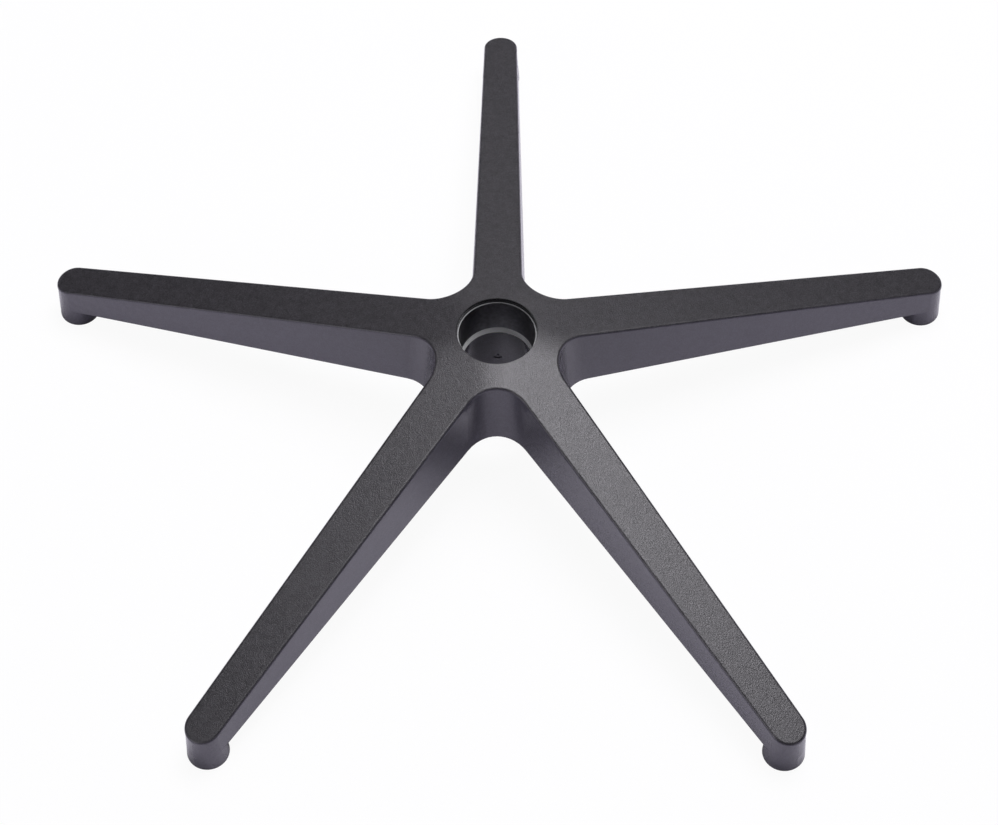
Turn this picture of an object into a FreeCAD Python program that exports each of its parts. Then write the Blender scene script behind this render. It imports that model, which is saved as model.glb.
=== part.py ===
import FreeCAD, Part
import math
import os

# Five-armed base of an office chair, in millimetres.
# One moulded star with caster sockets in its tips, and a steel sleeve in its hub for the gas column.
# The origin is the centre of the hub's mouth, +Z is up, and the first arm points along +Y.

# Arms, measured along the top surface
arm_count = 5
first_arm_angle = 90.0
arm_reach = 294.6
root_station = 70.0
root_half_width = 15.1
tip_half_width = 11.3
top_slope = 14.3

# Height from the floor to the arm tops where they reach the mouth, and the underside of the arms
base_height = 101.8
socket_drop = 13.5
under_slope = 8.7

# Side walls and the blends between neighbouring arms
wall_draft = 3.4
crotch_radius = 22.4

# Blends between the flat arm tops round the hub, which end a little inside the bore
crease_radius = 95.0
crease_run_in = 0.6

# Rounded cap along the top edge, which stands out a little past the walls at the mould's parting line
cap_depth = 2.4
cap_overhang = 0.3
edge_radius = 1.9

# Hollow underside
top_skin = 3.6
side_wall = 3.2
rib_thickness = 2.4
rib_setback = 2.0
cross_ribs = 8
first_rib_station = 62.0
last_rib_station = 262.0

# Hub tube; above its straight mouth the bore flares a little until it meets the arm tops
mouth_radius = 25.0
mouth_rise = 0.45
mouth_flare = 10.0
tube_length = 74.0
tube_wall = 4.2
tube_draft = 1.5
bore_draft = 0.4
witness_radius = 2.6
witness_nib_radius = 0.8
witness_depth = 0.5
witness_level = 57.5

# Steel sleeve: straight outside, and a tapered inside that a lip narrows at its lower end
sleeve_recess = 2.8
seat_step = 0.3
sleeve_wall = 0.65
sleeve_taper = 1.43
sleeve_cone_length = 25.2
sleeve_lip_length = 4.0
sleeve_lip_turn = 1.0
sleeve_clearance = 0.05
ledge_width = 2.4

# Caster sockets
stem_radius = 5.5
stem_clearance = 0.05
stem_depth = 24.0
stem_chamfer = 0.8

# Room beyond the solids for cutting tools
margin = 8.0

# Upward share of a face's normal above which the face counts as level
level_rise = 0.5

floor_z = mouth_rise - base_height
up = FreeCAD.Vector(0, 0, 1)
centre = FreeCAD.Vector(0, 0, 0)
sector = 360.0 / arm_count
core_radius = mouth_radius - crease_run_in
seat_radius = mouth_radius - seat_step
seat_z = -sleeve_recess - sleeve_cone_length - sleeve_lip_length


def tan_deg(angle):
    return math.tan(math.radians(angle))


def turned(shape, angle):
    copy = shape.copy()
    copy.rotate(centre, up, angle)
    return copy


def around(shape, start=first_arm_angle):
    return [turned(shape, start + sector * k) for k in range(arm_count)]


def closed(faces):
    """Solid inside a set of faces that meet edge to edge."""
    shell = Part.makeShell(faces)
    shell.sewShape()
    solid = Part.Solid(Part.Shell(shell.Faces))
    if solid.Volume < 0:
        solid.reverse()
    return solid


def revolved(points):
    """Solid of revolution about the hub's axis from (radius, height) points."""
    corners = [FreeCAD.Vector(radius, 0, z) for radius, z in points]
    wire = Part.makePolygon(corners + [corners[0]])
    return Part.Face(wire).revolve(centre, up, 360)


def top_z(station):
    """Height of an arm's flat top at a distance out from the hub's axis."""
    return mouth_rise + (mouth_radius - station) * tan_deg(top_slope)


def under_z(station):
    """Height of an arm's lower edges."""
    return floor_z + socket_drop + (arm_reach - station) * tan_deg(under_slope)


def side_line(z, inset):
    """Half width of an arm at the hub's axis, and its change per millimetre outwards, at height z."""
    flare = tan_deg(wall_draft)
    root = root_half_width + flare * top_z(root_station)
    tip = tip_half_width + flare * top_z(arm_reach)
    gradient = (tip - root) / (arm_reach - root_station)
    at_axis = root - gradient * root_station - flare * z
    taper = math.atan(-gradient)
    return at_axis - inset / math.cos(taper), taper


def tip_radius(z, inset):
    at_axis, taper = side_line(z, inset)
    return (at_axis - arm_reach * math.tan(taper)) * math.cos(taper)


def mirrored(point):
    return FreeCAD.Vector(point.x, -point.y, point.z)


def blend_wedge(corner, along, side, radius):
    """Prism between a sharp edge and the blend of its two sides, which mirror each other in y.

    The edge starts at corner and runs by the vector along; side lies in one of the two sides.
    """
    direction = FreeCAD.Vector(along).normalize()
    side = (side - direction * side.dot(direction)).normalize()
    middle = FreeCAD.Vector(side.x, 0, side.z).normalize()
    half_angle = side.getAngle(middle)
    end = corner + side * (radius / math.tan(half_angle))
    blend_mid = corner + middle * (radius / math.sin(half_angle) - radius)
    arc = Part.Arc(end, blend_mid, mirrored(end)).toShape()
    rest = Part.makePolygon([mirrored(end), corner, end])
    return Part.Face(Part.Wire([arc] + rest.Edges)).extrude(along)


def corner_reach(z, inset):
    """Distance from the hub's axis to the sharp corner between two arms."""
    at_axis, taper = side_line(z, inset)
    return at_axis * math.cos(taper) / math.sin(math.radians(sector / 2) + taper)


def outline_points(z, inset):
    """Ends of the left side of an arm along +X: its corner with the next arm, and its round tip."""
    half_sector = math.radians(sector / 2)
    reach = corner_reach(z, inset)
    corner = FreeCAD.Vector(reach * math.cos(half_sector), reach * math.sin(half_sector), z)
    taper = side_line(z, inset)[1]
    round_end = tip_radius(z, inset)
    side_end = FreeCAD.Vector(arm_reach + round_end * math.sin(taper), round_end * math.cos(taper), z)
    return corner, side_end


def arm_walls(low, high, inset):
    """Two flat sides and the conical end of an arm along +X."""
    corner_low, side_low = outline_points(low, inset)
    corner_high, side_high = outline_points(high, inset)
    left = [corner_low, side_low, side_high, corner_high, corner_low]
    right = [mirrored(point) for point in left]
    taper = math.degrees(side_line(low, inset)[1])
    slant = Part.LineSegment(mirrored(side_low), mirrored(side_high)).toShape()
    tip = slant.revolve(FreeCAD.Vector(arm_reach, 0, 0), up, 180 - 2 * taper)
    return [Part.Face(Part.makePolygon(left)), Part.Face(Part.makePolygon(right)), tip]


def star_face(z, inset):
    """Flat star that closes the walls at height z."""
    corner, side = outline_points(z, inset)
    tip = FreeCAD.Vector(arm_reach + tip_radius(z, inset), 0, z)
    edges = [
        Part.LineSegment(mirrored(corner), mirrored(side)).toShape(),
        Part.Arc(mirrored(side), tip, side).toShape(),
        Part.LineSegment(side, corner).toShape(),
    ]
    loop = []
    for edge in edges:
        loop += around(edge)
    return Part.Face(Part.Wire(Part.__sortEdges__(loop)))


def crotch_web(low, high, inset):
    """Blend that fills the corner between two arms, for a corner towards +X."""
    start = FreeCAD.Vector(corner_reach(high, inset), 0, high)
    end = FreeCAD.Vector(corner_reach(low, inset), 0, low)
    turn = math.radians(sector / 2) + side_line(low, inset)[1]
    side = FreeCAD.Vector(math.cos(turn), math.sin(turn), 0)
    return blend_wedge(start, end - start, side, crotch_radius + inset)


def star_prism(low, high, inset):
    """Star with drafted walls between two heights, blended where neighbouring arms meet."""
    faces = [star_face(low, inset), star_face(high, inset)]
    for face in arm_walls(low, high, inset):
        faces += around(face)
    webs = around(crotch_web(low, high, inset), first_arm_angle + sector / 2)
    return closed(faces).multiFuse(webs).removeSplitter()


def roof(height):
    """Solid under flat slopes, one above each arm, that follow height(station)."""
    reach = arm_reach + tip_half_width + margin
    low = floor_z - margin
    eave = height(reach)
    half_width = reach * tan_deg(sector / 2)
    apex = FreeCAD.Vector(0, 0, height(0))
    foot = FreeCAD.Vector(0, 0, low)
    left = FreeCAD.Vector(reach, half_width, eave)
    right = FreeCAD.Vector(reach, -half_width, eave)
    left_low = FreeCAD.Vector(reach, half_width, low)
    right_low = FreeCAD.Vector(reach, -half_width, low)
    faces = around(Part.Face(Part.makePolygon([apex, left, right, apex])))
    faces += around(Part.Face(Part.makePolygon([left, left_low, right_low, right, left])))
    faces += around(Part.Face(Part.makePolygon([foot, left_low, right_low, foot])))
    return closed(faces)


def smooth_roof(height, shift=0.0):
    """Roof with rounded creases and a hole at its middle, moved up by shift."""
    low = floor_z - 2 * margin
    core = Part.makeCylinder(core_radius, height(0) + margin - low, FreeCAD.Vector(0, 0, low), up)
    half_sector = math.radians(sector / 2)
    fall = height(0) - height(1)
    along = FreeCAD.Vector(1, 0, -fall * math.cos(half_sector)) * (2 * arm_reach)
    side = FreeCAD.Vector(0, 1, -fall * math.sin(half_sector))
    sliver = blend_wedge(FreeCAD.Vector(0, 0, height(0)), along, side, crease_radius)
    smooth = roof(height).cut(around(sliver, first_arm_angle + sector / 2) + [core])
    smooth.translate(FreeCAD.Vector(0, 0, shift))
    return smooth


def outer_star():
    """Arms and hub without their hollows: a thin cap that overhangs the drafted walls."""
    high = top_z(0) + margin
    under_cap = smooth_roof(top_z, -cap_depth)
    cap = star_prism(floor_z, high, 0).common(smooth_roof(top_z)).cut(under_cap)
    body = star_prism(floor_z, high, cap_overhang).common(under_cap).cut(smooth_roof(under_z))
    return rounded_cap(cap).fuse(body).fuse(around(socket_boss())).removeSplitter()


def rounded_cap(cap):
    """Cap with its upper rim rounded."""
    rim = [edge for edge in cap.Edges if on_top_rim(edge, cap)]
    return cap.makeFillet(min(edge_radius, 0.9 * cap_depth), rim)


def on_top_rim(edge, shape):
    """Whether an edge parts the top surface from an outer wall."""
    middle = edge.valueAt((edge.FirstParameter + edge.LastParameter) / 2)
    if math.hypot(middle.x, middle.y) < mouth_radius:
        return False
    rises = []
    for face in shape.ancestorsOfType(edge, Part.Face):
        u, v = face.Surface.parameter(middle)
        rises.append(face.normalAt(u, v).z)
    return max(rises) > level_rise and abs(min(rises)) < level_rise


def socket_boss():
    """Drafted round end of an arm along +X, from the floor up into the arm."""
    high = top_z(arm_reach) - cap_depth - tip_half_width * tan_deg(top_slope)
    low_radius = tip_radius(floor_z, cap_overhang)
    high_radius = tip_radius(high, cap_overhang)
    foot = FreeCAD.Vector(arm_reach, 0, floor_z)
    return Part.makeCone(low_radius, high_radius, high - floor_z, foot, up)


def tube_cone(low, high):
    """Outside of the hub tube, widest at the top, between two heights."""
    radii = [mouth_radius + tube_wall + z * tan_deg(tube_draft) for z in (low, high)]
    return Part.makeCone(radii[0], radii[1], high - low, FreeCAD.Vector(0, 0, low), up)


def rib_plates():
    """Upright plates: one along each arm, a row across it, and one to each crotch."""
    height = base_height + margin
    low = FreeCAD.Vector(0, -rib_thickness / 2, floor_z)
    plates = around(Part.makeBox(arm_reach, rib_thickness, height, low))
    spoke = crotch_radius + root_half_width + mouth_radius
    plates += around(Part.makeBox(spoke, rib_thickness, height, low), first_arm_angle + sector / 2)
    pitch = (last_rib_station - first_rib_station) / (cross_ribs - 1)
    width = 4 * root_half_width
    for k in range(cross_ribs):
        corner = FreeCAD.Vector(first_rib_station + pitch * k - rib_thickness / 2, -width / 2, floor_z)
        plates += around(Part.makeBox(rib_thickness, width, height, corner))
    return plates


def pockets():
    """Hollows of the underside, between the walls, the hub tube, the sockets and the ribs."""
    low = floor_z - margin
    high = top_z(0) + margin
    hollow = star_prism(low, high, cap_overhang + side_wall).common(smooth_roof(top_z, -top_skin))
    plates = rib_plates()
    ribs = plates[0].multiFuse(plates[1:]).cut(smooth_roof(under_z, rib_setback))
    return hollow.cut([ribs, tube_cone(low - margin, high)] + around(socket_room()))


def socket_room():
    """Room that a socket takes out of the hollow, from below the floor to above the arm."""
    foot = FreeCAD.Vector(arm_reach, 0, floor_z - 2 * margin)
    return Part.makeCylinder(tip_radius(floor_z, cap_overhang), base_height, foot, up)


def hub_sleeve():
    """Thin tube that stands on the ledge of the bore; its wall is thinnest at its top rim."""
    outside = seat_radius - sleeve_clearance
    inside = outside - sleeve_wall
    cone_end = seat_z + sleeve_lip_length
    at_cone_end = inside - sleeve_cone_length * tan_deg(sleeve_taper)
    lip = [(at_cone_end - sleeve_lip_turn, seat_z), (at_cone_end, cone_end)]
    return revolved([(outside, -sleeve_recess), (outside, seat_z)] + lip + [(inside, -sleeve_recess)])


def bore_radius(z):
    """Radius of the drafted bore below the sleeve."""
    return seat_radius - ledge_width + (z - seat_z) * tan_deg(bore_draft)


def hub_bore():
    """Bore of the hub: flare, straight mouth, seat of the sleeve, ledge, and drafted tube."""
    low = -tube_length - margin
    flare = [(mouth_radius + margin * tan_deg(mouth_flare), margin), (mouth_radius, 0)]
    seat = [(mouth_radius, -sleeve_recess), (seat_radius, -sleeve_recess), (seat_radius, seat_z)]
    drafted = [(bore_radius(seat_z), seat_z), (bore_radius(low), low)]
    return revolved([(0, margin)] + flare + seat + drafted + [(0, low)])


def witness_mark():
    """Shallow round mark with a nib at its middle, on the bore's wall under the first arm."""
    start = FreeCAD.Vector(0, bore_radius(-witness_level) - witness_depth, -witness_level)
    along = FreeCAD.Vector(0, 1, 0)
    dish = Part.makeCylinder(witness_radius, 2 * witness_depth, start, along)
    nib = Part.makeCylinder(witness_nib_radius, 2 * witness_depth, start, along)
    return dish.cut(nib)


def stem_bore():
    """Blind bore for a caster's stem, with a chamfered mouth."""
    radius = stem_radius + stem_clearance
    foot = FreeCAD.Vector(arm_reach, 0, floor_z)
    bore = Part.makeCylinder(radius, stem_depth, foot, up)
    below = FreeCAD.Vector(arm_reach, 0, floor_z - stem_chamfer)
    mouth = Part.makeCone(radius + 2 * stem_chamfer, radius, 2 * stem_chamfer, below, up)
    return bore.fuse(mouth)


def star_base():
    star = outer_star().cut(pockets()).fuse(tube_cone(-tube_length, -top_skin))
    tools = [hub_bore(), witness_mark()] + around(stem_bore())
    return star.cut(tools).removeSplitter()


def write(name, shape):
    shape.exportStep("parts/" + name + ".step")
    print(name, "solids", len(shape.Solids), "faces", len(shape.Faces),
          "volume", round(shape.Volume), "valid", shape.isValid())


os.makedirs("parts", exist_ok=True)
write("star_base", star_base())
write("hub_sleeve", hub_sleeve())
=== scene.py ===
import bpy
import math
from mathutils import Matrix, Vector


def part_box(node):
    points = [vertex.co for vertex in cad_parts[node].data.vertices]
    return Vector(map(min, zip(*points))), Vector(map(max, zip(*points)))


# Chair base on a plain white sweep, seen from above the front, as in the photograph.
# Metres. The CAD frame has its origin at the hub's mouth, +Z up, and one arm along +Y.

# Photograph's width and the camera's focal length in the same pixels, and the sensor's width
IMAGE_WIDTH = 998
FOCAL_PIXELS = 2791.9
SENSOR_WIDTH_MM = 36.0

# Camera's place from the hub's mouth, and its angles
CAMERA_PLACE = (0.01858, -1.01233, 1.40471)
CAMERA_DOWN_DEG = 55.88
CAMERA_TURN_DEG = -1.02
CAMERA_ROLL_DEG = -0.79

# Square lamps that point at the hub's mouth: name, place and power in watts
SOFTBOX_SIZE = 1.0
SOFTBOXES = (
    ("key_right", (0.66, 0.44, 2.05), 14.5),
    ("key_back", (0.26, 0.62, 2.09), 22),
    ("key_left", (-0.22, 0.55, 2.12), 3),
    ("overhead", (0.22, 0.0, 2.19), 12),
    ("back", (0.0, 1.76, 1.32), 4.5),
    ("fill", (-1.53, -1.31, 0.88), 9),
)

# Floor's side, and the gap that keeps it out of the plane of the sockets' flat ends
FLOOR_SIZE = 8.0
FLOOR_GAP = 0.0001

# Share of plain white in the floor and in the world, as seen by the camera and as reflected.
# The rest of the floor is lit paper with the shadow, and the rest of the world is the dim room.
FLOOR_WHITE = (0.94, 0.08)
WORLD_WHITE = (1.0, 0.0)
WHITE = (1, 1, 1, 1)
WHITE_LIGHT = 1.0
PAPER_COLOUR = (0.88, 0.85, 0.96, 1)
ROOM_COLOUR = (0.9, 0.92, 1.0, 1)
ROOM_LIGHT = 0.05

# Upward part of the normal where the look of the nylon's sides ends and that of its tops is full,
# and the same for the sleeve's inside and its rim
TOP_NORMALS = (0.35, 0.85)
RIM_NORMALS = (0.5, 0.9)

# Octaves of every noise, above its first
NOISE_DETAIL = 2.0

# Moulded grain: cells per metre of the fine grain and of the broad mottling, the roughness of
# both noises, how much of the mottling is added to the fine grain, and the bump's height
GRAIN_SCALE = 1400.0
MOTTLE_SCALE = 260.0
GRAIN_NOISE = 0.6
MOTTLE_SHARE = 0.35
GRAIN_HEIGHT = 0.00028

# Nylon's bump strength and roughness, on its sides and on its tops, and its specular highlight
GRAIN_STRENGTH = (0.06, 0.66)
NYLON_ROUGHNESS = (0.19, 0.385)
NYLON_SPECULAR = 0.6
NYLON_TINT = (0.97, 0.95, 1.0, 1)

# Nylon's colours in the deepest and highest grain, where the sides' lighter, bluer colours are
# painted bounce light from the floor, the grain values that get them, and the hub mouth's painted
# shade
SIDE_COLOURS_WITH_PAINTED_BOUNCE = ((0.054, 0.049, 0.067, 1), (0.072, 0.066, 0.090, 1))
TOP_COLOURS = ((0.009, 0.008, 0.010, 1), (0.043, 0.040, 0.047, 1))
GRAIN_SPAN = (0.525, 0.875)
MOUTH_PAINTED_SHADE_COLOUR = (0.004, 0.004, 0.005, 1)

# Painted shade on the wall of the hub's mouth above the sleeve: the radii where it is full and where
# it ends, and the heights where it starts and where it is full
MOUTH_SHADE_RADII = (0.0255, 0.0257)
MOUTH_SHADE_HEIGHTS = (-0.0035, -0.0032)

# Sleeve's steel: its darkened inside with faint blotches, its bare rim, and a painted highlight on
# the lip at its lower end, pale and not metallic, with the heights where the lip is full and where
# it ends. Its roughness is given for the dark parts and for the bare rim and painted lip.
BLOTCH_SCALE = 400.0
BLOTCH_NOISE = 0.5
BLOTCH_SPAN = (0.3, 0.7)
INSIDE_COLOURS = ((0.10, 0.10, 0.105, 1), (0.15, 0.15, 0.16, 1))
RIM_COLOUR = (0.22, 0.22, 0.23, 1)
LIP_PAINTED_HIGHLIGHT = (0.92, 0.92, 0.93, 1)
LIP_HIGHLIGHT_HEIGHTS = (-0.0283, -0.0277)
STEEL_ROUGHNESS = (0.30, 0.55)

# Shares that go from none to all, and from all to none
RISING = (0.0, 1.0)
FALLING = (1.0, 0.0)


def new_material(name):
    """Material with an empty node tree."""
    material = bpy.data.materials.new(name)
    material.use_nodes = True
    material.node_tree.nodes.clear()
    return material


def new_principled(name):
    """Material with a Principled shader as its surface, and that shader."""
    material = new_material(name)
    tree = material.node_tree
    shader = tree.nodes.new("ShaderNodeBsdfPrincipled")
    output = tree.nodes.new("ShaderNodeOutputMaterial")
    tree.links.new(shader.outputs["BSDF"], output.inputs["Surface"])
    return material, shader


def feed(tree, value, socket):
    """Link an output to a socket, or set the socket to a number or colour."""
    if isinstance(value, bpy.types.NodeSocket):
        tree.links.new(value, socket)
    else:
        socket.default_value = value


def object_position(tree):
    """Position in the piece's own frame, which is the CAD frame."""
    return tree.nodes.new("ShaderNodeTexCoord").outputs["Object"]


def height(tree, vector):
    """Z of a vector."""
    axes = tree.nodes.new("ShaderNodeSeparateXYZ")
    tree.links.new(vector, axes.inputs["Vector"])
    return axes.outputs["Z"]


def noise(tree, position, scale, roughness):
    """Noise between 0 and 1."""
    node = tree.nodes.new("ShaderNodeTexNoise")
    node.inputs["Scale"].default_value = scale
    node.inputs["Detail"].default_value = NOISE_DETAIL
    node.inputs["Roughness"].default_value = roughness
    tree.links.new(position, node.inputs["Vector"])
    return node.outputs["Fac"]


def remap(tree, source, span, new_span):
    """Output moved from one span to another, and clamped."""
    node = tree.nodes.new("ShaderNodeMapRange")
    node.inputs["From Min"].default_value = span[0]
    node.inputs["From Max"].default_value = span[1]
    node.inputs["To Min"].default_value = new_span[0]
    node.inputs["To Max"].default_value = new_span[1]
    tree.links.new(source, node.inputs["Value"])
    return node.outputs["Result"]


def blend(tree, share, values):
    """Number that goes from the first value to the second with a share from 0 to 1."""
    return remap(tree, share, RISING, values)


def compute(tree, operation, *values):
    """Math node on numbers and outputs."""
    node = tree.nodes.new("ShaderNodeMath")
    node.operation = operation
    for value, socket in zip(values, node.inputs):
        feed(tree, value, socket)
    return node.outputs["Value"]


def mix_colours(tree, share, first, second):
    """Colour that goes from first to second with a share from 0 to 1."""
    node = tree.nodes.new("ShaderNodeMixRGB")
    feed(tree, share, node.inputs["Fac"])
    feed(tree, first, node.inputs["Color1"])
    feed(tree, second, node.inputs["Color2"])
    return node.outputs["Color"]


def two_tone(tree, shade, colours):
    """Colour ramp between two colours."""
    ramp = tree.nodes.new("ShaderNodeValToRGB")
    for element, colour in zip(ramp.color_ramp.elements, colours):
        element.color = colour
    tree.links.new(shade, ramp.inputs["Fac"])
    return ramp.outputs["Color"]


def upward_share(tree, normals):
    """0 on upright faces and 1 on faces that look up, from the surface's own normal."""
    surface = tree.nodes.new("ShaderNodeNewGeometry")
    return remap(tree, height(tree, surface.outputs["Normal"]), normals, RISING)


def mouth_painted_shade_share(tree, position):
    """Painted shade mask: 1 on the short, shaded wall of the hub's mouth above the sleeve, and 0
    elsewhere.
    """
    flat = tree.nodes.new("ShaderNodeVectorMath")
    flat.operation = "MULTIPLY"
    flat.inputs[1].default_value = (1, 1, 0)
    tree.links.new(position, flat.inputs[0])
    radius = tree.nodes.new("ShaderNodeVectorMath")
    radius.operation = "LENGTH"
    tree.links.new(flat.outputs["Vector"], radius.inputs[0])
    within = remap(tree, radius.outputs["Value"], MOUTH_SHADE_RADII, FALLING)
    above = remap(tree, height(tree, position), MOUTH_SHADE_HEIGHTS, RISING)
    return compute(tree, "MULTIPLY", within, above)


def nylon_material():
    """Black glass-filled nylon: spark-eroded grain on top, smoother on the drafted sides."""
    material, shader = new_principled("black_nylon")
    tree = material.node_tree
    position = object_position(tree)
    top = upward_share(tree, TOP_NORMALS)

    fine = noise(tree, position, GRAIN_SCALE, GRAIN_NOISE)
    mottle = noise(tree, position, MOTTLE_SCALE, GRAIN_NOISE)
    grain = compute(tree, "MULTIPLY_ADD", mottle, MOTTLE_SHARE, fine)
    bump = tree.nodes.new("ShaderNodeBump")
    bump.inputs["Distance"].default_value = GRAIN_HEIGHT
    feed(tree, blend(tree, top, GRAIN_STRENGTH), bump.inputs["Strength"])
    feed(tree, grain, bump.inputs["Height"])
    feed(tree, bump.outputs["Normal"], shader.inputs["Normal"])

    shade = remap(tree, grain, GRAIN_SPAN, RISING)
    # Painted bounce light: the sides get lighter, bluer colours than the tops for the floor's light
    # on them
    sides_with_painted_bounce = two_tone(tree, shade, SIDE_COLOURS_WITH_PAINTED_BOUNCE)
    tops = two_tone(tree, shade, TOP_COLOURS)
    outside_with_painted_bounce = mix_colours(tree, top, sides_with_painted_bounce, tops)
    # Painted shade: the mouth's short wall above the sleeve is coloured near-black for the shadow in
    # that recess
    colour = mix_colours(tree, mouth_painted_shade_share(tree, position), outside_with_painted_bounce, MOUTH_PAINTED_SHADE_COLOUR)
    feed(tree, colour, shader.inputs["Base Color"])
    feed(tree, blend(tree, top, NYLON_ROUGHNESS), shader.inputs["Roughness"])
    shader.inputs["Specular IOR Level"].default_value = NYLON_SPECULAR
    shader.inputs["Specular Tint"].default_value = NYLON_TINT
    return material


def steel_material():
    """Thin pressed steel: darkened inside, bare on its rim, and a painted highlight on the lip at
    its lower end.
    """
    material, shader = new_principled("sleeve_steel")
    tree = material.node_tree
    position = object_position(tree)
    lip_highlight = remap(tree, height(tree, position), LIP_HIGHLIGHT_HEIGHTS, FALLING)
    rim = upward_share(tree, RIM_NORMALS)

    blotches = noise(tree, position, BLOTCH_SCALE, BLOTCH_NOISE)
    inside = two_tone(tree, remap(tree, blotches, BLOTCH_SPAN, RISING), INSIDE_COLOURS)
    rimmed = mix_colours(tree, rim, inside, RIM_COLOUR)
    # Painted highlight: the lip at the lower end gets a near-white colour for the bright band of
    # light there
    colour = mix_colours(tree, lip_highlight, rimmed, LIP_PAINTED_HIGHLIGHT)
    feed(tree, colour, shader.inputs["Base Color"])
    bare_rim_and_lip_highlight = compute(tree, "MAXIMUM", lip_highlight, rim)
    feed(tree, blend(tree, bare_rim_and_lip_highlight, STEEL_ROUGHNESS), shader.inputs["Roughness"])
    # The painted highlight on the lip is not metallic, so that its near-white colour shows as a pale
    # band
    feed(tree, blend(tree, lip_highlight, FALLING), shader.inputs["Metallic"])
    return material


def mix_white(tree, shares, lit, white, surface):
    """Make a surface plain white to the camera and in reflections by two shares, and lit else."""
    seen, reflected = shares
    path = tree.nodes.new("ShaderNodeLightPath")
    direct = compute(
        tree, "MAXIMUM", path.outputs["Is Camera Ray"], path.outputs["Is Transmission Ray"]
    )
    direct_share = compute(tree, "MULTIPLY", direct, seen)
    glossy = path.outputs["Is Glossy Ray"]
    share = compute(tree, "MULTIPLY_ADD", glossy, reflected, direct_share)
    mix = tree.nodes.new("ShaderNodeMixShader")
    feed(tree, share, mix.inputs["Fac"])
    feed(tree, lit, mix.inputs[1])
    feed(tree, white, mix.inputs[2])
    feed(tree, mix.outputs["Shader"], surface)


def floor_material():
    """White sweep: nearly white to the camera, with a faint part of the real shadow kept."""
    material = new_material("white_sweep")
    tree = material.node_tree
    paper = tree.nodes.new("ShaderNodeBsdfDiffuse")
    paper.inputs["Color"].default_value = PAPER_COLOUR
    white = tree.nodes.new("ShaderNodeEmission")
    white.inputs["Color"].default_value = WHITE
    white.inputs["Strength"].default_value = WHITE_LIGHT
    output = tree.nodes.new("ShaderNodeOutputMaterial")
    mix_white(
        tree, FLOOR_WHITE, paper.outputs["BSDF"], white.outputs["Emission"],
        output.inputs["Surface"],
    )
    return material


def add_floor(z):
    """Large floor under the sockets."""
    bpy.ops.mesh.primitive_plane_add(size=FLOOR_SIZE, location=(0, 0, z))
    floor = bpy.context.object
    floor.name = "floor"
    floor.data.materials.append(floor_material())


def add_background(tree, colour, strength):
    """Even light from all around."""
    node = tree.nodes.new("ShaderNodeBackground")
    node.inputs["Color"].default_value = colour
    node.inputs["Strength"].default_value = strength
    return node.outputs["Background"]


def add_world():
    """Dim room light, white where the camera looks past the floor."""
    world = bpy.data.worlds.new("studio")
    bpy.context.scene.world = world
    world.use_nodes = True
    tree = world.node_tree
    tree.nodes.clear()
    room = add_background(tree, ROOM_COLOUR, ROOM_LIGHT)
    white = add_background(tree, WHITE, WHITE_LIGHT)
    output = tree.nodes.new("ShaderNodeOutputWorld")
    mix_white(tree, WORLD_WHITE, room, white, output.inputs["Surface"])


def add_softbox(name, place, power):
    """Square area lamp that points at the hub's mouth."""
    lamp = bpy.data.lights.new(name, "AREA")
    lamp.shape = "SQUARE"
    lamp.size = SOFTBOX_SIZE
    lamp.energy = power
    holder = bpy.data.objects.new(name, lamp)
    bpy.context.scene.collection.objects.link(holder)
    holder.location = place
    holder.rotation_euler = (-Vector(place)).to_track_quat("-Z", "Y").to_euler()


def add_camera():
    """Camera at the photograph's place and angles, with its longish lens."""
    down = math.radians(CAMERA_DOWN_DEG)
    turn = math.radians(CAMERA_TURN_DEG)
    roll = math.radians(CAMERA_ROLL_DEG)
    forward = Vector((
        math.sin(turn) * math.cos(down),
        math.cos(turn) * math.cos(down),
        -math.sin(down),
    ))
    level = Vector((math.cos(turn), -math.sin(turn), 0))
    upright = level.cross(forward)
    right = level * math.cos(roll) + upright * math.sin(roll)
    top = upright * math.cos(roll) - level * math.sin(roll)
    data = bpy.data.cameras.new("camera")
    data.sensor_fit = "HORIZONTAL"
    data.sensor_width = SENSOR_WIDTH_MM
    data.lens = FOCAL_PIXELS * SENSOR_WIDTH_MM / IMAGE_WIDTH
    camera = bpy.data.objects.new("camera", data)
    bpy.context.scene.collection.objects.link(camera)
    axes = Matrix((right, top, -forward)).transposed().to_4x4()
    camera.matrix_world = Matrix.Translation(Vector(CAMERA_PLACE)) @ axes
    bpy.context.scene.camera = camera


def dress(node, material):
    """Give a CAD node one material in all its slots."""
    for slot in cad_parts[node].material_slots:
        slot.link = "OBJECT"
        slot.material = material


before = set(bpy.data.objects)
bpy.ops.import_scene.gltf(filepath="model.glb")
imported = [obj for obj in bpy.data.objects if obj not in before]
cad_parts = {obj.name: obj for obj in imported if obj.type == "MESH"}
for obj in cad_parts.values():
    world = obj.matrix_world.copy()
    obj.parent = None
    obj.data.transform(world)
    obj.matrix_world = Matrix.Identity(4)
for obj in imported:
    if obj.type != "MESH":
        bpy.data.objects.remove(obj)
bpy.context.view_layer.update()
bpy.context.scene.view_settings.view_transform = "Standard"

dress("star_base", nylon_material())
dress("hub_sleeve", steel_material())

floor_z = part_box("star_base")[0].z
add_floor(floor_z - FLOOR_GAP)
add_world()
for name, place, power in SOFTBOXES:
    add_softbox(name, place, power)
add_camera()
